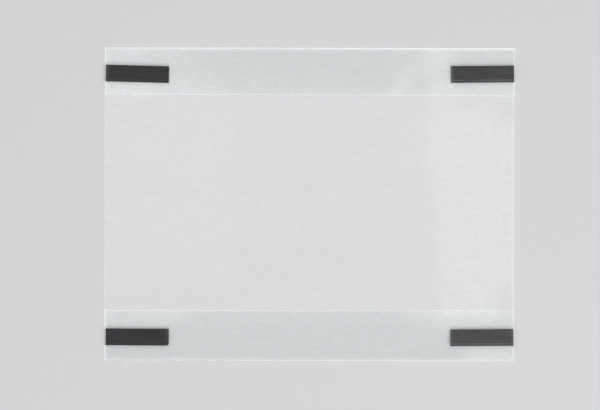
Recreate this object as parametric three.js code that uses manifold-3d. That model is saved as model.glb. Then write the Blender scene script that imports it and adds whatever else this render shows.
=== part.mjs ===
// Magnetic document pocket for a landscape A4 sheet.
// One sheet of clear stiff film is folded back along both long sides into a flat sleeve that is
// open at both ends. Four short strips of flexible magnet, each on double-sided tape, hold it
// to a steel board by the folded-back flaps.
// Millimetres. The sleeve lies on its front panel with the magnets up: X runs along the folds,
// Y across them and Z up. The origin is the middle of the front panel's outer face.

import * as THREE from "three";
import Module from "manifold-3d";
import { mergeVertices } from "three/addons/utils/BufferGeometryUtils.js";

// Sleeve
const sleeveLength = 300; // open end to open end, 297 mm of paper and a little room
const sleeveHeight = 230; // outside of one fold to outside of the other
const filmThickness = 0.3;
const foldInnerRadius = 0.4; // half of the slot that the paper slides into
const foldSteps = 12; // facets round each half-turn fold
const flapShift = 0.6; // both flaps lie this far to the right of the panel, folded a little off square

// Flap depths, from the outside of the fold to the free edge, at the left and right open ends
const topFlapLeftDepth = 34.8;
const topFlapRightDepth = 35.5;
const bottomFlapLeftDepth = 36.9;
const bottomFlapRightDepth = 37.3;

// Magnet strip, extruded with a polarity score along its face, then cut to length
const magnetLength = 46.2;
const magnetWidth = 12.2;
const magnetThickness = 1.5;
const magnetEdgeRadius = 0.25; // rounding of the two long edges of the outer face
const edgeSteps = 4; // facets round each long edge
const scoreInset = 1.6; // from the lower long edge to the middle of the score
const scoreWidth = 0.4;
const scoreDepth = 0.18;
const cornerClip = 1.1; // both legs of the corner that the scissors took off one strip

// Tape
const tapeThickness = 0.2; // cut together with the strip, so it has the strip's outline

// Where each strip was stuck: its gap to the flap's open end, how far its middle lies from the
// flap's middle towards the free edge, and its turn seen from above, anticlockwise, in degrees.
const strips = [
  { name: "top_left", side: -1, endGap: 0.3, towardFreeEdge: 2.3, turn: -1.3 },
  { name: "top_right", side: 1, endGap: 0.8, towardFreeEdge: 1.6, turn: 0.7 },
  { name: "bottom_left", side: -1, endGap: 0.7, towardFreeEdge: -0.9, turn: -0.2, clipped: true },
  { name: "bottom_right", side: 1, endGap: 0.8, towardFreeEdge: -0.9, turn: 0.4 },
];

// Sizes that follow from the ones above
const foldOuterRadius = foldInnerRadius + filmThickness;
const foldCentreZ = foldOuterRadius;
const foldCentreY = sleeveHeight / 2 - foldOuterRadius;
const flapTopZ = 2 * foldOuterRadius;
const magnetBottomZ = flapTopZ + tapeThickness;

const filmMaterial = new THREE.MeshStandardMaterial({
  name: "clear_film",
  color: "#dfe2e3",
  roughness: 0.12,
  metalness: 0,
  transparent: true,
  opacity: 0.35,
});
const magnetMaterial = new THREE.MeshStandardMaterial({
  name: "flexible_magnet",
  color: "#3a3b3e",
  roughness: 0.55,
  metalness: 0,
});
const tapeMaterial = new THREE.MeshStandardMaterial({
  name: "double_sided_tape",
  color: "#c9cbc8",
  roughness: 0.5,
  metalness: 0,
});

const wasm = await Module();
wasm.setup();

// The two open ends of the sleeve, where the film's outline is known.
const leftEnd = {
  x: -sleeveLength / 2,
  topDepth: topFlapLeftDepth,
  bottomDepth: bottomFlapLeftDepth,
};
const rightEnd = {
  x: sleeveLength / 2,
  topDepth: topFlapRightDepth,
  bottomDepth: bottomFlapRightDepth,
};

// One face of the film at an open end, from the bottom flap's free edge round both folds to the
// top flap's free edge. The outer face lies at the outer fold radius and the inner face at the
// inner one. The flap's shift comes in evenly round the fold.
function filmFace(radius, end) {
  const points = [];
  const add = (y, z, shareOfShift) =>
    points.push(new THREE.Vector3(end.x + flapShift * shareOfShift, y, z));
  const addFold = (centreY, startAngle) => {
    for (let step = 0; step <= foldSteps; step += 1) {
      const angle = startAngle + (Math.PI * step) / foldSteps;
      const y = centreY + radius * Math.cos(angle);
      const z = foldCentreZ + radius * Math.sin(angle);
      add(y, z, (1 + Math.sin(angle)) / 2);
    }
  };
  add(-sleeveHeight / 2 + end.bottomDepth, foldCentreZ + radius, 1);
  addFold(-foldCentreY, Math.PI / 2);
  addFold(foldCentreY, -Math.PI / 2);
  add(sleeveHeight / 2 - end.topDepth, foldCentreZ + radius, 1);
  return points;
}

function filmOutline(end) {
  return [...filmFace(foldOuterRadius, end), ...filmFace(foldInnerRadius, end).reverse()];
}

// A closed body between two outlines of the same number of points, which turn anticlockwise
// when seen from +X.
function loft(left, right) {
  const count = left.length;
  const positions = [];
  for (const point of [...left, ...right]) positions.push(point.x, point.y, point.z);
  const index = [];
  for (let i = 0; i < count; i += 1) {
    const next = (i + 1) % count;
    index.push(i, next, count + next);
    index.push(i, count + next, count + i);
  }
  const flat = left.map((point) => new THREE.Vector2(point.y, point.z));
  for (const [a, b, c] of THREE.ShapeUtils.triangulateShape(flat, [])) {
    index.push(c, b, a);
    index.push(count + a, count + b, count + c);
  }
  const geometry = new THREE.BufferGeometry();
  geometry.setAttribute("position", new THREE.Float32BufferAttribute(positions, 3));
  geometry.setIndex(index);
  return geometry;
}

function filmSleeve() {
  return loft(filmOutline(leftEnd), filmOutline(rightEnd));
}

// The strip's section: y across the strip, from its lower edge to its upper one, and z up from
// its taped face.
function magnetSection() {
  const half = magnetWidth / 2;
  const shoulder = half - magnetEdgeRadius;
  const scoreY = -half + scoreInset;
  const section = new THREE.Shape();
  section.moveTo(-half, 0);
  section.lineTo(half, 0);
  section.lineTo(half, magnetThickness - magnetEdgeRadius);
  section.absarc(
    shoulder,
    magnetThickness - magnetEdgeRadius,
    magnetEdgeRadius,
    0,
    Math.PI / 2,
    false,
  );
  section.lineTo(scoreY + scoreWidth / 2, magnetThickness);
  section.lineTo(scoreY, magnetThickness - scoreDepth);
  section.lineTo(scoreY - scoreWidth / 2, magnetThickness);
  section.lineTo(-shoulder, magnetThickness);
  section.absarc(
    -shoulder,
    magnetThickness - magnetEdgeRadius,
    magnetEdgeRadius,
    Math.PI / 2,
    Math.PI,
    false,
  );
  return section;
}

function tapeSection() {
  const half = magnetWidth / 2;
  const section = new THREE.Shape();
  section.moveTo(-half, 0);
  section.lineTo(half, 0);
  section.lineTo(half, tapeThickness);
  section.lineTo(-half, tapeThickness);
  return section;
}

// A section in Y and Z, drawn out along X by the strip's length, with its middle at x = 0.
function cutToLength(section) {
  const geometry = new THREE.ExtrudeGeometry(section, {
    depth: magnetLength,
    bevelEnabled: false,
    curveSegments: edgeSteps,
  });
  const alongX = new THREE.Matrix4().makeBasis(
    new THREE.Vector3(0, 1, 0),
    new THREE.Vector3(0, 0, 1),
    new THREE.Vector3(1, 0, 0),
  );
  geometry.applyMatrix4(alongX);
  geometry.translate(-magnetLength / 2, 0, 0);
  return geometry;
}

function toSolid(geometry) {
  const bare = geometry.clone();
  bare.deleteAttribute("normal");
  bare.deleteAttribute("uv");
  const merged = mergeVertices(bare, 1e-4);
  return new wasm.Manifold(
    new wasm.Mesh({
      numProp: 3,
      vertProperties: merged.attributes.position.array,
      triVerts: new Uint32Array(merged.index.array),
    }),
  );
}

function fromSolid(solid) {
  const mesh = solid.getMesh();
  const geometry = new THREE.BufferGeometry();
  geometry.setAttribute("position", new THREE.BufferAttribute(mesh.vertProperties, 3));
  geometry.setIndex(new THREE.BufferAttribute(mesh.triVerts, 1));
  return geometry;
}

// The scissors' cut: a prism that takes off the strip's lower right corner.
function clipLowerRightCorner(geometry) {
  const height = magnetThickness + tapeThickness;
  const corner = new THREE.Vector2(magnetLength / 2, -magnetWidth / 2);
  const beyond = cornerClip; // the prism runs past the strip by one more leg on both sides
  const outline = new THREE.Shape();
  outline.moveTo(corner.x - cornerClip - beyond, corner.y - beyond);
  outline.lineTo(corner.x + beyond, corner.y - beyond);
  outline.lineTo(corner.x + beyond, corner.y + cornerClip + beyond);
  const prism = new THREE.ExtrudeGeometry(outline, { depth: 3 * height, bevelEnabled: false });
  prism.translate(0, 0, -height);
  return fromSolid(toSolid(geometry).subtract(toSolid(prism)));
}

function stripPlace(strip) {
  const end = strip.side < 0 ? leftEnd : rightEnd;
  const onTop = strip.name.startsWith("top");
  const flapDepth = onTop ? end.topDepth : end.bottomDepth;
  const fromFold = flapDepth / 2 + strip.towardFreeEdge;
  const foldY = onTop ? sleeveHeight / 2 : -sleeveHeight / 2;
  return {
    x: end.x + flapShift - strip.side * (strip.endGap + magnetLength / 2),
    y: onTop ? foldY - fromFold : foldY + fromFold,
    turn: THREE.MathUtils.degToRad(strip.turn),
  };
}

function namedMesh(name, geometry, material) {
  geometry.computeVertexNormals();
  const mesh = new THREE.Mesh(geometry, material);
  mesh.name = name;
  return mesh;
}

// A magnet strip on its tape, as one group that is turned and set on its flap.
function magnetOnTape(strip) {
  const trim = strip.clipped ? clipLowerRightCorner : (geometry) => geometry;
  const group = new THREE.Group();
  const tape = namedMesh(`tape_${strip.name}`, trim(cutToLength(tapeSection())), tapeMaterial);
  const magnet = namedMesh(
    `magnet_${strip.name}`,
    trim(cutToLength(magnetSection())),
    magnetMaterial,
  );
  tape.position.z = flapTopZ;
  magnet.position.z = magnetBottomZ;
  group.add(tape, magnet);
  const place = stripPlace(strip);
  group.position.set(place.x, place.y, 0);
  group.rotation.z = place.turn;
  return group;
}

const pocket = new THREE.Group();
pocket.name = "magnetic_document_pocket";
pocket.add(namedMesh("film_sleeve", filmSleeve(), filmMaterial));
for (const strip of strips) pocket.add(magnetOnTape(strip));

export default pocket;
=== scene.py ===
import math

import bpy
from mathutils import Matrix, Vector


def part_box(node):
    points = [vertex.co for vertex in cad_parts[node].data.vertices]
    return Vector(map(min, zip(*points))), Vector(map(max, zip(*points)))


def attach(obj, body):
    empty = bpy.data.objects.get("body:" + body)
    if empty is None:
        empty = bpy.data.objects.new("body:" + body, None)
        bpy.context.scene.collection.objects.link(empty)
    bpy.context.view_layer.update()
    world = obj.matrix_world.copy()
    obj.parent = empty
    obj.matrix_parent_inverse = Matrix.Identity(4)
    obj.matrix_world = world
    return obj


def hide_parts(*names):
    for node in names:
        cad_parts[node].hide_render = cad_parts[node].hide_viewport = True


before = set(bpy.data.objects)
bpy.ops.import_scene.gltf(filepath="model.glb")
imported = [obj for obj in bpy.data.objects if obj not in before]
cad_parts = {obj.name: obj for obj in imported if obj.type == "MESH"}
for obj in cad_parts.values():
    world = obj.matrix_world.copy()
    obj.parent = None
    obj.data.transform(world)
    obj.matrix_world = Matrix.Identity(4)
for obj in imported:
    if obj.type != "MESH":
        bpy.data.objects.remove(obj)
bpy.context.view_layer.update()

# Magnetic document pocket, lying face down with its flaps and magnet strips up.
# Sizes are millimetres in the values below and metres in the scene.

MM = 0.001

# Film sleeve
FILM_LOW, FILM_HIGH = (Vector(corner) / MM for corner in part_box("film_sleeve"))
SLEEVE_HEIGHT = FILM_HIGH.y - FILM_LOW.y
FILM_THICKNESS = 0.3
FLAP_SHIFT = 0.6  # both flaps lie this far to the right of the panel
SLEEVE_LENGTH = FILM_HIGH.x - FILM_LOW.x - FLAP_SHIFT
# From the fold to the free edge, at the left and right open ends. The bottom flap is 0.6 mm
# deeper than its solid, as the photograph shows it.
FLAP_DEPTH = {"top": (34.8, 35.5), "bottom": (37.5, 37.9)}
FOLD_RADIUS = 0.55  # of the middle of the film
FLAP_RISE = 0.024  # the flap springs up this much for each millimetre from its fold
SEAT_MARGIN = 60.0  # how far the flap takes to spring up beside a strip
SEAT_CLEARANCE = 0.01  # between the flap and the tape above it
WAVE_HEIGHT = 0.22  # the film never lies quite flat
WAVE_LENGTH = 75.0
WAVE_SEED = 7.3

# Mesh of the film
COLUMN_STEP = 2.3
ROW_STEP = 2.3
FOLD_ROWS = 10
NOMINAL_FLAP = 35.0  # the depth by which a flap's rows are spaced
RIM_STEPS = (0.0, 0.12, 0.3, 0.6, 1.2)  # close rows beside a cut edge
SHARP_ANGLE = 35.0  # degrees between two faces, past which their edge is shaded sharp

# How white the film is, 0 to 1, at the left and right open ends of each crease and free
# edge, and along the left and right cuts of the flaps and of the panel. It is partly clouded film and
# partly a painted highlight where the edges catch the light, brighter on the lit side.
CREASE_WHITE_AND_HIGHLIGHT = {"top": (0.45, 0.6), "bottom": (0.04, 0.15)}
FREE_EDGE_WHITE_AND_HIGHLIGHT = {"top": (0.33, 0.4), "bottom": (0.4, 0.33)}
FLAP_CUT_WHITE_AND_HIGHLIGHT = (0.7, 0.2)
PANEL_CUT_WHITE_AND_HIGHLIGHT = (0.08, 0.25)
CREASE_WIDTH = 0.7  # of the white strip, clouding and painted highlight, that the crease leaves on the flap
RIM_WIDTH = 0.8  # the cut edge's clouding and painted highlight reach this far

# Light scratches in the front panel: the middle's x and y, half the length, and the turn
SCRATCHES = ((141.1, -8.1, 11.9, -45.0), (143.3, 34.4, 7.8, -45.0))
SCRATCH_HALF_WIDTH = 0.35
SCRATCH_WHITE = 0.08

# How much of the film's green tint shows, 0 to 1, for each face that light passes. Beyond the film's
# own faint tint on the panel, the flaps' larger share is painted shade that darkens the folded bands,
# the top one most.
PANEL_TINT_AND_SHADE = 0.004
FLAP_TINT_AND_SHADE = {"top": 0.05, "bottom": 0.022}

# The film's face and its flow lines
FILM_MIRROR = 0.04  # the share of light that one face mirrors when seen straight on
FLOW_LENGTH = 16.0
FLOW_WIDTH = 4.5
FLOW_HAZE = 0.06

# Magnet strips. The turn is seen from above, anticlockwise, in degrees. The lightening is 0 to 1:
# a painted reflection all over the face, wear at the left and right cut ends, and a painted
# highlight along the polarity score.
STRIPS = {
    "top_left": {"turn": -1.3, "wear_and_highlight": (0.02, 0.32, 0.01, 0.25)},
    "top_right": {"turn": 0.7, "wear_and_highlight": (0.14, 0.55, 0.27, 0.95)},
    "bottom_left": {"turn": -0.2, "wear_and_highlight": (0.0, 0.05, 0.18, 0.12)},
    "bottom_right": {"turn": 0.4, "wear_and_highlight": (0.165, 0.4, 0.5, 1.0)},
}
WEAR_AND_LIGHT_PLACES = ("Face reflection", "Left wear", "Right wear", "Score highlight")
CLIPPED_STRIP = "bottom_left"
STRIP_LENGTH = 46.2
STRIP_WIDTH = 12.2
STRIP_EDGE_RADIUS = 0.25
EDGE_STEPS = 6
SCORE_INSET = 1.6  # from the lower long edge to the middle of the score
SCORE_WIDTH = 0.4
SCORE_DEPTH = 0.18
SCORE_LIP = 0.6  # the score's painted highlight reaches this far from its middle
FACE_STEP = 1.0  # of the mesh, across the strip
LENGTH_STEP = 0.8  # of the mesh, along the strip
END_WEAR_REACH = 3.5
CORNER_CLIP = 1.1
CUTTER_SIZE = 10.0  # of the block that cuts the corner off
STREAK_LENGTH = 30.0
STREAK_WIDTH = 0.9
STREAK_DEPTH = 0.03
BUBBLE_SPACING = 1.1  # in the tape

# Camera: the photograph's frame is 600 by 410 pixels
PICTURE = (600, 410)
SLEEVE_MIDDLE_PIXEL = (309.1, 204.4)
MM_PER_PIXEL = 0.7333
CAMERA_HEIGHT = 1500.0
CAMERA_ROLL = 0.15  # degrees
CAMERA_REACH = 20000.0
SENSOR_WIDTH = 36.0

# Ground and room
ROOM_LIGHT = 0.452  # strength of the plain white light from all round
GROUND_HALF = 3000.0
GROUND_GAP = 0.2  # under the film
CARD_MOTTLE = 12.0

# Nearly all values of a noise texture lie between these two
NOISE_LOW = 0.3
NOISE_HIGH = 0.7


def linear(code):
    """An sRGB hex colour as the linear RGBA that a socket takes."""
    channels = [int(code[i : i + 2], 16) / 255 for i in (1, 3, 5)]
    return [c / 12.92 if c <= 0.04045 else ((c + 0.055) / 1.055) ** 2.4 for c in channels] + [1.0]


def add_node(tree, kind, inputs=None, **settings):
    """Adds one node. inputs maps a socket's name or number to a value, to another node's socket,
    or to another node, which stands for its first output."""
    made = tree.nodes.new(kind)
    for name, value in settings.items():
        setattr(made, name, value)
    for key, value in (inputs or {}).items():
        socket = made.inputs[key]
        if isinstance(value, bpy.types.Node):
            value = value.outputs[0]
        if isinstance(value, bpy.types.NodeSocket):
            tree.links.new(value, socket)
        else:
            socket.default_value = value
    return made


def new_material(name):
    material = bpy.data.materials.new(name)
    material.use_nodes = True
    material.node_tree.nodes.clear()
    return material, material.node_tree


# Materials


def calendered_film():
    """Clear PVC film, calendered: glossy on both faces, with a faint green tint, and painted shade
    that darkens the flaps.

    The eye gets the ground through it, the room mirrored in it, a haze in the rollers' faint
    flow lines, and white lines along the knife cuts and creases: partly clouded film, partly a
    painted highlight where the edges catch the light.
    """
    material, tree = new_material("clear calendered PVC film")
    place = add_node(tree, "ShaderNodeUVMap", uv_map="developed")
    flow = add_node(
        tree,
        "ShaderNodeMapping",
        {"Vector": place, "Scale": (1 / (FLOW_LENGTH * MM), 1 / (FLOW_WIDTH * MM), 1.0)},
    )
    flow_noise = add_node(
        tree, "ShaderNodeTexNoise", {"Vector": flow, "Scale": 1.0, "Detail": 3.0, "Roughness": 0.6}
    )
    facing = add_node(tree, "ShaderNodeLayerWeight", {"Blend": 0.5}).outputs["Facing"]
    grazing = add_node(tree, "ShaderNodeMath", {0: facing, 1: 5.0}, operation="POWER")
    mirror = add_node(
        tree,
        "ShaderNodeMath",
        {0: grazing, 1: 1.0 - FILM_MIRROR, 2: FILM_MIRROR},
        operation="MULTIPLY_ADD",
    )
    # The film's own tint is faint; the flaps' stronger tint is painted shade that darkens them.
    tint_and_shade_share = add_node(tree, "ShaderNodeAttribute", attribute_name="tint_and_shade").outputs["Fac"]
    tint_and_shade = add_node(
        tree,
        "ShaderNodeMix",
        {"Factor": tint_and_shade_share, 6: linear("#ffffff"), 7: linear("#e4f4ee")},
        data_type="RGBA",
    ).outputs[2]
    clear = add_node(tree, "ShaderNodeBsdfTransparent", {"Color": tint_and_shade})
    gloss = add_node(
        tree, "ShaderNodeBsdfGlossy", {"Color": (1.0, 1.0, 1.0, 1.0), "Roughness": 0.05}
    )
    polished = add_node(tree, "ShaderNodeMixShader", {0: mirror, 1: clear, 2: gloss})
    haze = add_node(
        tree,
        "ShaderNodeMapRange",
        {
            "Value": flow_noise,
            "From Min": NOISE_LOW,
            "From Max": NOISE_HIGH,
            "To Max": FLOW_HAZE,
        },
    )
    milk = add_node(tree, "ShaderNodeBsdfDiffuse", {"Color": linear("#f4f6f8"), "Roughness": 0.0})
    hazy = add_node(tree, "ShaderNodeMixShader", {0: haze, 1: polished, 2: milk})
    # The white lines are partly clouded film and partly a painted highlight where the edges catch the
    # light.
    white = add_node(tree, "ShaderNodeAttribute", attribute_name="clouding_and_highlight").outputs["Fac"]
    for x, y, half_length, turn in SCRATCHES:
        from_middle = add_node(
            tree,
            "ShaderNodeMapping",
            {
                "Vector": place,
                "Location": (x * MM, y * MM, 0.0),
                "Rotation": (0.0, 0.0, math.radians(turn)),
                "Scale": (half_length * MM, SCRATCH_HALF_WIDTH * MM, 1.0),
            },
            vector_type="TEXTURE",
        )
        off = add_node(tree, "ShaderNodeVectorMath", {0: from_middle}, operation="LENGTH")
        scratch = add_node(
            tree,
            "ShaderNodeMapRange",
            {"Value": off.outputs["Value"], "To Min": SCRATCH_WHITE, "To Max": 0.0},
        )
        white = add_node(tree, "ShaderNodeMath", {0: white, 1: scratch}, operation="MAXIMUM")
    frosted_and_highlight = add_node(
        tree,
        "ShaderNodeBsdfPrincipled",
        {"Base Color": linear("#fbfcfd"), "Roughness": 0.35, "IOR": 1.53},
    )
    # Clouded film spreads the light that it passes, so that its white lines, clouding and painted
    # highlight alike, throw hardly any shadow.
    shadow = add_node(tree, "ShaderNodeLightPath").outputs["Is Shadow Ray"]
    spread = add_node(tree, "ShaderNodeMixShader", {0: shadow, 1: frosted_and_highlight, 2: clear})
    finished = add_node(tree, "ShaderNodeMixShader", {0: white, 1: hazy, 2: spread})
    add_node(tree, "ShaderNodeOutputMaterial", {"Surface": finished})
    return material


def extruded_magnet():
    """Ferrite powder in rubber, extruded: a satin black with fine streaks along the strip.

    Where the scissors pressed it, the skin is broken and greyer. The grey along the die's score is a
    painted highlight, and the grey all over the face, strongest on the right-hand strips, is a
    painted reflection.
    """
    material, tree = new_material("flexible ferrite magnet, extruded")
    place = add_node(tree, "ShaderNodeUVMap", uv_map="along")
    drawn = add_node(
        tree,
        "ShaderNodeMapping",
        {"Vector": place, "Scale": (1 / (STREAK_LENGTH * MM), 1 / (STREAK_WIDTH * MM), 1.0)},
    )
    drawn_noise = add_node(
        tree, "ShaderNodeTexNoise", {"Vector": drawn, "Scale": 1.0, "Detail": 4.0}
    )
    streaks = add_node(
        tree,
        "ShaderNodeMapRange",
        {"Value": drawn_noise, "From Min": NOISE_LOW, "From Max": NOISE_HIGH},
    )
    skin = add_node(
        tree,
        "ShaderNodeMix",
        {"Factor": streaks, 6: linear("#050608"), 7: linear("#27292d")},
        data_type="RGBA",
    ).outputs[2]
    # This grey is wear at the cut ends, a painted highlight along the score and a painted reflection
    # over the face.
    wear_and_highlight_share = add_node(tree, "ShaderNodeAttribute", attribute_name="wear_and_highlight").outputs["Fac"]
    patchy = add_node(
        tree, "ShaderNodeMapRange", {"Value": streaks, "To Min": 0.6, "To Max": 1.0}
    )
    greyed = add_node(tree, "ShaderNodeMath", {0: wear_and_highlight_share, 1: patchy}, operation="MULTIPLY")
    colour = add_node(
        tree,
        "ShaderNodeMix",
        {"Factor": greyed, 6: skin, 7: linear("#77797c")},
        data_type="RGBA",
    ).outputs[2]
    roughness = add_node(
        tree, "ShaderNodeMapRange", {"Value": streaks, "To Min": 0.36, "To Max": 0.5}
    )
    drag = add_node(
        tree,
        "ShaderNodeBump",
        {"Height": streaks, "Strength": 0.2, "Distance": STREAK_DEPTH * MM},
    )
    surface = add_node(
        tree,
        "ShaderNodeBsdfPrincipled",
        {"Base Color": colour, "Roughness": roughness, "Normal": drag, "IOR": 1.365},
    )
    add_node(tree, "ShaderNodeOutputMaterial", {"Surface": surface})
    return material


def acrylic_tape():
    """Double-sided acrylic tape: a milky film with fine bubbles, seen only through the sleeve."""
    material, tree = new_material("double-sided acrylic tape")
    place = add_node(tree, "ShaderNodeTexCoord").outputs["Object"]
    bubbles = add_node(
        tree, "ShaderNodeTexVoronoi", {"Vector": place, "Scale": 1 / (BUBBLE_SPACING * MM)}
    )
    colour = add_node(
        tree,
        "ShaderNodeMix",
        {"Factor": bubbles, 6: linear("#c4c6c3"), 7: linear("#b4b6b4")},
        data_type="RGBA",
    ).outputs[2]
    surface = add_node(
        tree, "ShaderNodeBsdfPrincipled", {"Base Color": colour, "Roughness": 0.5}
    )
    add_node(tree, "ShaderNodeOutputMaterial", {"Surface": surface})
    return material


def matt_card():
    """Matt card for the ground: an even pale grey. Its tooth is too fine to show at this size,
    so a faint mottle stands for it."""
    material, tree = new_material("matt pale card")
    place = add_node(tree, "ShaderNodeTexCoord").outputs["Object"]
    mottle = add_node(
        tree,
        "ShaderNodeTexNoise",
        {"Vector": place, "Scale": 1 / (CARD_MOTTLE * MM), "Detail": 3.0},
    )
    colour = add_node(
        tree,
        "ShaderNodeMix",
        {"Factor": mottle, 6: linear("#d4d5d7"), 7: linear("#d6d7d9")},
        data_type="RGBA",
    ).outputs[2]
    surface = add_node(
        tree,
        "ShaderNodeBsdfPrincipled",
        {"Base Color": colour, "Roughness": 0.9, "Specular IOR Level": 0.1},
    )
    add_node(tree, "ShaderNodeOutputMaterial", {"Surface": surface})
    return material


FILM = calendered_film()
MAGNET = extruded_magnet()
TAPE = acrylic_tape()
CARD = matt_card()


# Shared by the Geometry Nodes trees


def new_tree(name, sizes):
    """A Geometry Nodes tree with a geometry, a material and named sizes as its inputs."""
    tree = bpy.data.node_groups.new(name, "GeometryNodeTree")
    face = tree.interface
    face.new_socket("Geometry", in_out="INPUT", socket_type="NodeSocketGeometry")
    for size in sizes:
        face.new_socket(size, in_out="INPUT", socket_type="NodeSocketFloat")
    face.new_socket("Material", in_out="INPUT", socket_type="NodeSocketMaterial")
    face.new_socket("Geometry", in_out="OUTPUT", socket_type="NodeSocketGeometry")
    return tree, add_node(tree, "NodeGroupInput").outputs


def end_tree(tree, geometry, material):
    real = add_node(tree, "GeometryNodeRealizeInstances", {"Geometry": geometry})
    finished = add_node(
        tree, "GeometryNodeSetMaterial", {"Geometry": real, "Material": material}
    )
    add_node(tree, "NodeGroupOutput", {"Geometry": finished})


def run_tree(host, tree, values):
    """Puts a tree on the host and sets its named inputs, by each socket's identifier."""
    modifier = host.modifiers.new(tree.name, "NODES")
    modifier.node_group = tree
    for item in tree.interface.items_tree:
        if item.item_type == "SOCKET" and item.in_out == "INPUT" and item.name in values:
            modifier[item.identifier] = values[item.name]


def new_host(name, points, edges, faces):
    mesh = bpy.data.meshes.new(name)
    mesh.from_pydata(points, edges, faces)
    host = bpy.data.objects.new(name, mesh)
    bpy.context.scene.collection.objects.link(host)
    return host


def plain_mesh(host, name):
    """What the host's modifiers make, as a plain mesh object at the origin."""
    evaluated = host.evaluated_get(bpy.context.evaluated_depsgraph_get())
    mesh = bpy.data.meshes.new_from_object(evaluated)
    bpy.data.objects.remove(host)
    mesh.name = name
    piece = bpy.data.objects.new(name, mesh)
    bpy.context.scene.collection.objects.link(piece)
    return piece


# Film sleeve

PANEL_HALF = SLEEVE_HEIGHT / 2 - FOLD_RADIUS - FILM_THICKNESS / 2
FOLD_ARC = math.pi * FOLD_RADIUS
STRIP_BOX = {name: [Vector(c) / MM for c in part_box(f"magnet_{name}")] for name in STRIPS}
TAPE_BOX = {name: [Vector(c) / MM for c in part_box(f"tape_{name}")] for name in STRIPS}
SEAT_HEIGHT = min(low.z for low, high in TAPE_BOX.values()) - SEAT_CLEARANCE - FILM_THICKNESS / 2


def smooth(share):
    share = min(max(share, 0.0), 1.0)
    return share * share * (3 - 2 * share)


def between(low, high, step):
    """Even stations from low to high, both ends included."""
    count = max(1, round((high - low) / step))
    return [low + (high - low) * i / count for i in range(count + 1)]


def columns():
    """Stations along the folds, with close ones beside both cuts."""
    half = SLEEVE_LENGTH / 2
    inner = half - RIM_STEPS[-1]
    left = [-half + step for step in RIM_STEPS[:-1]]
    right = [half - step for step in reversed(RIM_STEPS[:-1])]
    return left + between(-inner, inner, COLUMN_STEP) + right


def half_rows():
    """Stations from the panel's middle to a flap's free edge, as (part, share of that part)."""
    panel = [("panel", v / PANEL_HALF) for v in between(0, PANEL_HALF, ROW_STEP)]
    fold = [("fold", i / FOLD_ROWS) for i in range(1, FOLD_ROWS + 1)]
    edge = NOMINAL_FLAP - RIM_STEPS[-1]
    near = [("flap", step / NOMINAL_FLAP) for step in RIM_STEPS[1:]]
    flat = [("flap", v / NOMINAL_FLAP) for v in between(RIM_STEPS[-1], edge, ROW_STEP)[1:]]
    rim = [("flap", 1 - step / NOMINAL_FLAP) for step in reversed(RIM_STEPS[:-1])]
    return panel + fold + near + flat + rim


def edge_name(side):
    return "top" if side > 0 else "bottom"


def flap_length(side, u):
    """The flap's flat length, from where the fold ends to the free edge."""
    left, right = FLAP_DEPTH[edge_name(side)]
    share = u / SLEEVE_LENGTH + 0.5
    depth = left + (right - left) * share
    return depth - FOLD_RADIUS - FILM_THICKNESS / 2


def developed(part, share, side, u):
    """The flat sheet's coordinate across the folds, from the panel's middle."""
    if part == "panel":
        return side * share * PANEL_HALF
    if part == "fold":
        return side * (PANEL_HALF + share * FOLD_ARC)
    return side * (PANEL_HALF + FOLD_ARC + share * flap_length(side, u))


def seat_share(part, side, u):
    """1 where a strip holds the flap flat, falling to 0 on the way along the fold."""
    if part != "flap":
        return 0.0
    best = 0.0
    for low, high in STRIP_BOX.values():
        if (low.y + high.y) * side > 0:
            beside = max(low.x - u - FLAP_SHIFT, u + FLAP_SHIFT - high.x, 0.0)
            best = max(best, smooth(1 - beside / SEAT_MARGIN))
    return best


def edge_share(distance, width):
    """1 at an edge, falling to 0 at the given width from it."""
    return smooth(1 - distance / width)


def clouding_and_highlight(part, share, side, u):
    """How white the film is along its creases, free edges and knife cuts: partly clouded film, partly
    a painted highlight where the edges catch the light.
    """
    edge = edge_name(side)
    from_left = u + SLEEVE_LENGTH / 2
    from_right = SLEEVE_LENGTH / 2 - u
    along = from_left / SLEEVE_LENGTH
    left, right = PANEL_CUT_WHITE_AND_HIGHLIGHT if part == "panel" else FLAP_CUT_WHITE_AND_HIGHLIGHT
    white = max(
        left * edge_share(from_left, RIM_WIDTH), right * edge_share(from_right, RIM_WIDTH)
    )
    left, right = CREASE_WHITE_AND_HIGHLIGHT[edge]
    crease = left + (right - left) * along
    if part == "fold":
        white = max(white, crease * math.sqrt(min(1.0, 2 * share)))
    if part == "flap":
        from_fold = share * flap_length(side, u)
        from_edge = (1 - share) * flap_length(side, u)
        left, right = FREE_EDGE_WHITE_AND_HIGHLIGHT[edge]
        free_edge = left + (right - left) * along
        white = max(
            white,
            crease * edge_share(from_fold, CREASE_WIDTH),
            free_edge * edge_share(from_edge, RIM_WIDTH),
        )
    return white


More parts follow.
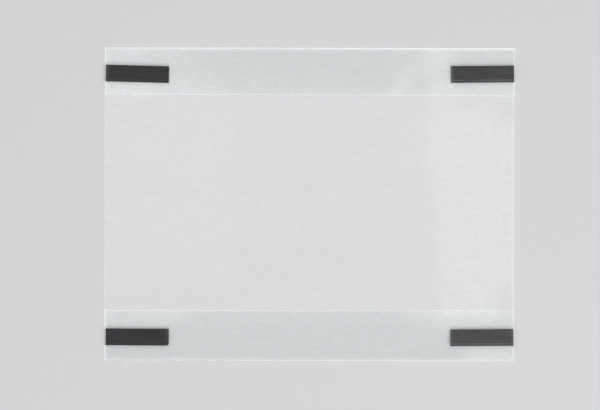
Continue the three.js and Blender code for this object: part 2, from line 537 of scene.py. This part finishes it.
def flat_sheet():
    """The sheet as it was cut, before folding: X along the folds, Y across, all at z = 0."""
    us = columns()
    upper = half_rows()
    rows = [(part, share, -1) for part, share in reversed(upper[1:])]
    rows += [(part, share, 1) for part, share in upper]
    points, clouding_and_highlight_values, seats, tint_and_shade_values = [], [], [], []
    for part, share, side in rows:
        for u in us:
            points.append((u * MM, developed(part, share, side, u) * MM, 0.0))
            # White along creases and cuts: partly clouding, partly painted highlight.
            clouding_and_highlight_values.append(clouding_and_highlight(part, share, side, u))
            seats.append(seat_share(part, side, u))
            # The flaps' stronger tint is painted shade; the panel's is the film's own.
            tint_and_shade_values.append(FLAP_TINT_AND_SHADE[edge_name(side)] if part == "flap" else PANEL_TINT_AND_SHADE)
    wide = len(us)
    faces = []
    for j in range(len(rows) - 1):
        for i in range(wide - 1):
            a = j * wide + i
            faces.append((a, a + 1, a + wide + 1, a + wide))
    sheet = new_host("film_sheet", points, [], faces)
    mesh = sheet.data
    for name, values in (("clouding_and_highlight", clouding_and_highlight_values), ("seat", seats), ("tint_and_shade", tint_and_shade_values)):
        mesh.attributes.new(name, "FLOAT", "POINT").data.foreach_set("value", values)
    layer = mesh.uv_layers.new(name="developed")
    for loop in mesh.loops:
        x, y, _ = points[loop.vertex_index]
        layer.data[loop.index].uv = (x, y)
    return sheet


def folding_tree():
    """Folds a flat sheet back along both long sides, springs its flaps up and seats them."""
    tree, given = new_tree(
        "fold the sheet",
        (
            "Panel half",
            "Fold radius",
            "Film thickness",
            "Flap rise",
            "Flap shift",
            "Seat height",
            "Wave height",
            "Wave length",
        ),
    )
    maths = "ShaderNodeMath"
    here = add_node(tree, "GeometryNodeInputPosition")
    flat = add_node(tree, "ShaderNodeSeparateXYZ", {0: here}).outputs
    side = add_node(tree, maths, {0: flat["Y"]}, operation="SIGN")
    out = add_node(tree, maths, {0: flat["Y"]}, operation="ABSOLUTE")

    # How much of the sheet's way out lies on the panel, round the fold and on the flap
    on_panel = add_node(tree, maths, {0: out, 1: given["Panel half"]}, operation="MINIMUM")
    beyond = add_node(tree, maths, {0: out, 1: on_panel}, operation="SUBTRACT")
    arc = add_node(tree, maths, {0: given["Fold radius"], 1: math.pi}, operation="MULTIPLY")
    in_fold = add_node(tree, maths, {0: beyond, 1: arc}, operation="MINIMUM")
    on_flap = add_node(tree, maths, {0: beyond, 1: in_fold}, operation="SUBTRACT")
    folded_share = add_node(tree, maths, {0: in_fold, 1: arc}, operation="DIVIDE")
    turn = add_node(tree, maths, {0: in_fold, 1: given["Fold radius"]}, operation="DIVIDE")

    # Across the folds
    sine = add_node(tree, maths, {0: turn}, operation="SINE")
    bulge = add_node(
        tree, maths, {0: sine, 1: given["Fold radius"], 2: on_panel}, operation="MULTIPLY_ADD"
    )
    reach = add_node(tree, maths, {0: bulge, 1: on_flap}, operation="SUBTRACT")
    y = add_node(tree, maths, {0: reach, 1: side}, operation="MULTIPLY")

    # Up
    cosine = add_node(tree, maths, {0: turn}, operation="COSINE")
    fall = add_node(tree, maths, {0: 1.0, 1: cosine}, operation="SUBTRACT")
    half_film = add_node(
        tree, maths, {0: given["Film thickness"], 1: 0.5}, operation="MULTIPLY"
    )
    rounded = add_node(
        tree, maths, {0: fall, 1: given["Fold radius"], 2: half_film}, operation="MULTIPLY_ADD"
    )
    sprung = add_node(
        tree, maths, {0: on_flap, 1: given["Flap rise"], 2: rounded}, operation="MULTIPLY_ADD"
    )
    per_wave = add_node(tree, maths, {0: 1.0, 1: given["Wave length"]}, operation="DIVIDE")
    wave = add_node(
        tree,
        "ShaderNodeTexNoise",
        {"Vector": here, "W": WAVE_SEED, "Scale": per_wave, "Detail": 1.0},
        noise_dimensions="4D",
    )
    waved = add_node(
        tree, maths, {0: wave, 1: given["Wave height"], 2: sprung}, operation="MULTIPLY_ADD"
    )
    seat = add_node(tree, "GeometryNodeInputNamedAttribute", {"Name": "seat"}, data_type="FLOAT")
    z = add_node(
        tree, "ShaderNodeMix", {0: seat, 2: waved, 3: given["Seat height"]}, data_type="FLOAT"
    )

    # Along the folds
    x = add_node(
        tree, maths, {0: folded_share, 1: given["Flap shift"], 2: flat["X"]}, operation="MULTIPLY_ADD"
    )
    place = add_node(tree, "ShaderNodeCombineXYZ", {"X": x, "Y": y, "Z": z})
    folded = add_node(
        tree, "GeometryNodeSetPosition", {"Geometry": given["Geometry"], "Position": place}
    )
    end_tree(tree, folded, given["Material"])
    return tree


def film_sleeve():
    sheet = flat_sheet()
    run_tree(
        sheet,
        folding_tree(),
        {
            "Panel half": PANEL_HALF * MM,
            "Fold radius": FOLD_RADIUS * MM,
            "Film thickness": FILM_THICKNESS * MM,
            "Flap rise": FLAP_RISE,
            "Flap shift": FLAP_SHIFT * MM,
            "Seat height": SEAT_HEIGHT * MM,
            "Wave height": WAVE_HEIGHT * MM,
            "Wave length": WAVE_LENGTH * MM,
            "Material": FILM,
        },
    )
    wall = sheet.modifiers.new("wall", "SOLIDIFY")
    wall.thickness = FILM_THICKNESS * MM
    wall.offset = 0.0
    wall.use_even_offset = True
    piece = plain_mesh(sheet, "clear_film_sleeve")
    piece.data.set_sharp_from_angle(angle=math.radians(SHARP_ANGLE))
    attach(piece, "root")
    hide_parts("film_sleeve")


# Magnet strips

STRIP_THICKNESS = STRIP_BOX["top_left"][1].z - STRIP_BOX["top_left"][0].z


def strip_section():
    """The strip's outline: across the strip, and up from its taped face."""
    half = STRIP_WIDTH / 2
    shoulder = half - STRIP_EDGE_RADIUS
    rise = STRIP_THICKNESS - STRIP_EDGE_RADIUS
    score = -half + SCORE_INSET
    quarter = [
        (
            STRIP_EDGE_RADIUS * math.cos(math.pi / 2 * i / EDGE_STEPS),
            STRIP_EDGE_RADIUS * math.sin(math.pi / 2 * i / EDGE_STEPS),
        )
        for i in range(EDGE_STEPS + 1)
    ]
    taped = [(y, 0.0) for y in between(-half, half, FACE_STEP)]
    upper_edge = [(shoulder + out, rise + up) for out, up in quarter]
    face = [
        (y, STRIP_THICKNESS) for y in reversed(between(score + SCORE_LIP, shoulder, FACE_STEP)[:-1])
    ]
    groove = [
        (score + SCORE_WIDTH / 2, STRIP_THICKNESS),
        (score, STRIP_THICKNESS - SCORE_DEPTH),
        (score - SCORE_WIDTH / 2, STRIP_THICKNESS),
        (score - SCORE_LIP, STRIP_THICKNESS),
    ]
    lower_edge = [(-shoulder - out, rise + up) for out, up in reversed(quarter)]
    return taped + upper_edge + face + groove + lower_edge


def strip_tree():
    """Sweeps the section along the strip, marks its wear and painted light, trims a corner and lays
    it in place.
    """
    tree, given = new_tree(
        "extruded strip",
        (
            "Length",
            "Length step",
            "Score place",
            "Score reach",
            *WEAR_AND_LIGHT_PLACES,
            "Wear reach",
            "Corner clip",
            "Half width",
            "Turn",
            "Place X",
            "Place Y",
            "Place Z",
            "Pattern shift",
        ),
    )
    maths = "ShaderNodeMath"
    half = add_node(tree, maths, {0: given["Length"], 1: 0.5}, operation="MULTIPLY")
    minus_half = add_node(tree, maths, {0: given["Length"], 1: -0.5}, operation="MULTIPLY")
    path = add_node(
        tree,
        "GeometryNodeCurvePrimitiveLine",
        {
            "Start": add_node(tree, "ShaderNodeCombineXYZ", {"X": minus_half}),
            "End": add_node(tree, "ShaderNodeCombineXYZ", {"X": half}),
        },
    )
    stations = add_node(
        tree,
        "GeometryNodeResampleCurve",
        {"Curve": path, "Length": given["Length step"]},
        mode="LENGTH",
    )
    upright = add_node(tree, "GeometryNodeSetCurveNormal", {"Curve": stations}, mode="Z_UP")
    # The sweep's own frame looks down, so half a turn sets the section upright.
    righted = add_node(tree, "GeometryNodeSetCurveTilt", {"Curve": upright, "Tilt": math.pi})
    outline = add_node(tree, "GeometryNodeMeshToCurve", {"Mesh": given["Geometry"]})
    swept = add_node(
        tree,
        "GeometryNodeCurveToMesh",
        {"Curve": righted, "Profile Curve": outline, "Fill Caps": True},
    )

    # A painted reflection over the face, wear at both cut ends, and a painted highlight along the
    # score
    here = add_node(tree, "ShaderNodeSeparateXYZ", {0: add_node(tree, "GeometryNodeInputPosition")})
    along, across = here.outputs["X"], here.outputs["Y"]
    from_left = add_node(tree, maths, {0: along, 1: half}, operation="ADD")
    from_right = add_node(tree, maths, {0: half, 1: along}, operation="SUBTRACT")
    off_score = add_node(
        tree,
        maths,
        {0: add_node(tree, maths, {0: across, 1: given["Score place"]}, operation="SUBTRACT")},
        operation="ABSOLUTE",
    )
    wear_and_highlight = given["Face reflection"]
    for distance, reach, strength in (
        (from_left, "Wear reach", "Left wear"),
        (from_right, "Wear reach", "Right wear"),
        (off_score, "Score reach", "Score highlight"),
    ):
        one = add_node(
            tree,
            "ShaderNodeMapRange",
            {"Value": distance, "From Max": given[reach], "To Min": given[strength], "To Max": 0.0},
            interpolation_type="SMOOTHSTEP",
        )
        wear_and_highlight = add_node(tree, maths, {0: one, 1: wear_and_highlight}, operation="MAXIMUM")
    marked = add_node(
        tree,
        "GeometryNodeStoreNamedAttribute",
        {"Geometry": swept, "Name": "wear_and_highlight", "Value": wear_and_highlight},
        data_type="FLOAT",
        domain="POINT",
    )

    # The scissors' cut: a block turned by an eighth, whose near face crosses the corner
    block = CUTTER_SIZE * MM
    into = add_node(
        tree,
        maths,
        {0: given["Corner clip"], 1: -0.5, 2: block / 2 / math.sqrt(2)},
        operation="MULTIPLY_ADD",
    )
    block_x = add_node(tree, maths, {0: half, 1: into}, operation="ADD")
    block_y = add_node(tree, maths, {0: given["Half width"], 1: into}, operation="ADD")
    block_down = add_node(tree, maths, {0: block_y, 1: -1.0}, operation="MULTIPLY")
    cutter = add_node(
        tree,
        "GeometryNodeTransform",
        {
            "Geometry": add_node(tree, "GeometryNodeMeshCube", {"Size": (block, block, block)}),
            "Translation": add_node(tree, "ShaderNodeCombineXYZ", {"X": block_x, "Y": block_down}),
            "Rotation": (0.0, 0.0, math.pi / 4),
        },
    )
    trimmed = add_node(
        tree, "GeometryNodeMeshBoolean", {"Mesh 1": marked, "Mesh 2": cutter}, operation="DIFFERENCE"
    )
    cut = add_node(
        tree,
        "FunctionNodeCompare",
        {0: given["Corner clip"], 1: 0.0},
        data_type="FLOAT",
        operation="GREATER_THAN",
    )
    ready = add_node(
        tree,
        "GeometryNodeSwitch",
        {"Switch": cut, "False": marked, "True": trimmed},
        input_type="GEOMETRY",
    )
    shifted = add_node(tree, maths, {0: across, 1: given["Pattern shift"]}, operation="ADD")
    mapped = add_node(
        tree,
        "GeometryNodeStoreNamedAttribute",
        {
            "Geometry": ready,
            "Name": "along",
            "Value": add_node(tree, "ShaderNodeCombineXYZ", {"X": along, "Y": shifted}),
        },
        data_type="FLOAT2",
        domain="CORNER",
    )
    laid = add_node(
        tree,
        "GeometryNodeTransform",
        {
            "Geometry": mapped,
            "Translation": add_node(
                tree,
                "ShaderNodeCombineXYZ",
                {"X": given["Place X"], "Y": given["Place Y"], "Z": given["Place Z"]},
            ),
            "Rotation": add_node(tree, "ShaderNodeCombineXYZ", {"Z": given["Turn"]}),
        },
    )
    end_tree(tree, laid, given["Material"])
    return tree


def magnet_strips():
    tree = strip_tree()
    for number, (name, facts) in enumerate(STRIPS.items()):
        low, high = STRIP_BOX[name]
        section = [(y * MM, z * MM, 0.0) for y, z in strip_section()]
        count = len(section)
        ring = [(i, (i + 1) % count) for i in range(count)]
        host = new_host("strip_section", section, ring, [])
        run_tree(
            host,
            tree,
            {
                "Length": STRIP_LENGTH * MM,
                "Length step": LENGTH_STEP * MM,
                "Score place": (SCORE_INSET - STRIP_WIDTH / 2) * MM,
                "Score reach": SCORE_LIP * MM,
                # The face and score values are painted light, a reflection and a highlight; the end
                # values are wear.
                **dict(zip(WEAR_AND_LIGHT_PLACES, facts["wear_and_highlight"])),
                "Wear reach": END_WEAR_REACH * MM,
                "Corner clip": CORNER_CLIP * MM if name == CLIPPED_STRIP else 0.0,
                "Half width": STRIP_WIDTH / 2 * MM,
                "Turn": math.radians(facts["turn"]),
                "Place X": (low.x + high.x) / 2 * MM,
                "Place Y": (low.y + high.y) / 2 * MM,
                "Place Z": low.z * MM,
                "Pattern shift": number * STRIP_WIDTH * MM,
                "Material": MAGNET,
            },
        )
        piece = plain_mesh(host, f"magnet_strip_{name}")
        piece.data.set_sharp_from_angle(angle=math.radians(SHARP_ANGLE))
        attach(piece, "root")
        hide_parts(f"magnet_{name}")


def tapes():
    """The CAD tapes stay as they are and only take the tape's looks."""
    for name in STRIPS:
        cad = bpy.data.objects[f"tape_{name}"]
        cad.data.materials.clear()
        cad.data.materials.append(TAPE)


film_sleeve()
magnet_strips()
tapes()


# Ground, light and camera


def ground():
    """A wide sheet of card, just under the film so that their faces don't meet."""
    half = GROUND_HALF * MM
    z = -GROUND_GAP * MM
    corners = [(-half, -half, z), (half, -half, z), (half, half, z), (-half, half, z)]
    mesh = bpy.data.meshes.new("ground")
    mesh.from_pydata(corners, [], [(0, 1, 2, 3)])
    mesh.materials.append(CARD)
    floor = bpy.data.objects.new("ground", mesh)
    bpy.context.scene.collection.objects.link(floor)


def softbox(name, place, aim, size, radiance, colour="#ffffff"):
    """A rectangular soft light that shines from place towards aim, in metres. Blender takes its
    power, which is radiance times pi times area."""
    lamp = bpy.data.lights.new(name, "AREA")
    lamp.shape = "RECTANGLE"
    lamp.size, lamp.size_y = size
    lamp.energy = radiance * math.pi * size[0] * size[1]
    lamp.color = linear(colour)[:3]
    box = bpy.data.objects.new(name, lamp)
    box.location = place
    box.rotation_euler = (Vector(aim) - Vector(place)).to_track_quat("-Z", "Y").to_euler()
    bpy.context.scene.collection.objects.link(box)


def room():
    """Plain white light from all round. Rays from the camera, and mirrored or transmitted ones,
    see the pale backdrop instead."""
    world = bpy.data.worlds.new("studio")
    world.use_nodes = True
    tree = world.node_tree
    tree.nodes.clear()
    light = add_node(
        tree, "ShaderNodeBackground", {"Color": linear("#ffffff"), "Strength": ROOM_LIGHT}
    )
    shown = add_node(
        tree, "ShaderNodeBackground", {"Color": linear("#dcddde"), "Strength": 1.0}
    )
    ray = add_node(tree, "ShaderNodeLightPath").outputs
    seen = ray["Is Camera Ray"]
    for kind in ("Is Glossy Ray", "Is Transmission Ray"):
        seen = add_node(tree, "ShaderNodeMath", {0: seen, 1: ray[kind]}, operation="MAXIMUM")
    both = add_node(tree, "ShaderNodeMixShader", {0: seen, 1: light, 2: shown})
    add_node(tree, "ShaderNodeOutputWorld", {"Surface": both})
    bpy.context.scene.world = world


# The ceiling lights that the film mirrors, each hung a little above the one before: left, right,
# low and high edges in metres, radiance and colour
CEILING = {
    "overhead a": (-0.60, 0.60, -0.195, 0.215, 0.25, "#ffffff"),
    "overhead b": (-0.60, 0.60, -0.200, 0.270, 0.14, "#ffffff"),
    "overhead c": (-0.60, 0.60, -0.210, 0.350, 0.12, "#ffffff"),
    "overhead d": (-0.60, 0.60, -0.220, 0.420, 0.12, "#ffffff"),
    "overhead e": (-0.60, 0.60, -0.060, 0.210, 0.08, "#ffffff"),
    "overhead f": (-0.60, 0.60, 0.060, 0.210, 0.08, "#ffffff"),
    "left glow a": (-0.40, -0.12, -0.150, 0.190, 0.18, "#ffffff"),
    "left glow b": (-0.40, -0.20, 0.190, 0.420, 0.20, "#ffffff"),
    "left glow c": (-0.40, -0.27, 0.190, 0.420, 0.26, "#ffffff"),
    "window top": (0.213, 0.256, 0.190, 0.500, 0.56, "#fff8f4"),
    "window left": (0.213, 0.270, 0.030, 0.180, 0.68, "#eeffc4"),
    "window left, low": (0.234, 0.270, -0.190, 0.030, 0.66, "#eeffc4"),
    "window middle": (0.270, 0.335, -0.190, 0.165, 0.68, "#eeffc4"),
    "window right": (0.335, 0.375, -0.140, 0.140, 0.66, "#eeffc4"),
    "window below": (0.250, 0.335, -0.225, -0.190, 0.18, "#f4fff4"),
    "window bottom": (0.282, 0.370, -0.500, -0.225, 0.48, "#f4fff4"),
}
CEILING_HEIGHT = 2.0
CEILING_GAP = 0.004  # lamps at one height would hide each other

# The lights beside the part, all aimed at its middle: place and size in metres, and radiance
SIDE_LIGHTS = {
    "key from above": ((0.0, 1.15, 2.0), (2.4, 0.9), 1.25),
    "fill from below": ((0.1, -1.15, 2.0), (2.4, 0.9), 2.75),
    "right fill": ((0.95, -0.45, 2.0), (0.6, 1.0), 4.5),
}


def lights():
    for number, (name, lamp) in enumerate(CEILING.items()):
        left, right, low, high, radiance, colour = lamp
        middle = ((left + right) / 2, (low + high) / 2)
        height = CEILING_HEIGHT + CEILING_GAP * number
        size = (right - left, high - low)
        softbox(name, (*middle, height), (*middle, 0), size, radiance, colour)
    for name, (place, size, radiance) in SIDE_LIGHTS.items():
        softbox(name, place, (0, 0, 0), size, radiance)


def camera():
    """Straight above, so that the sleeve comes out in the photograph's place and scale."""
    middle = Vector((0.5 * PICTURE[0], 0.5 * PICTURE[1]))
    off = Vector(SLEEVE_MIDDLE_PIXEL) - middle
    lens = bpy.data.cameras.new("camera")
    lens.sensor_width = SENSOR_WIDTH
    lens.lens = SENSOR_WIDTH * CAMERA_HEIGHT / (PICTURE[0] * MM_PER_PIXEL)
    lens.clip_end = CAMERA_REACH * MM
    eye = bpy.data.objects.new("camera", lens)
    eye.location = (-off.x * MM_PER_PIXEL * MM, off.y * MM_PER_PIXEL * MM, CAMERA_HEIGHT * MM)
    eye.rotation_euler = (0, 0, math.radians(CAMERA_ROLL))
    bpy.context.scene.collection.objects.link(eye)
    bpy.context.scene.camera = eye


ground()
room()
lights()
camera()
bpy.context.scene.view_settings.view_transform = "Standard"
# A ray crosses four faces of film on its way down through a flap and four more on its way up.
bpy.context.scene.cycles.transparent_max_bounces = 24
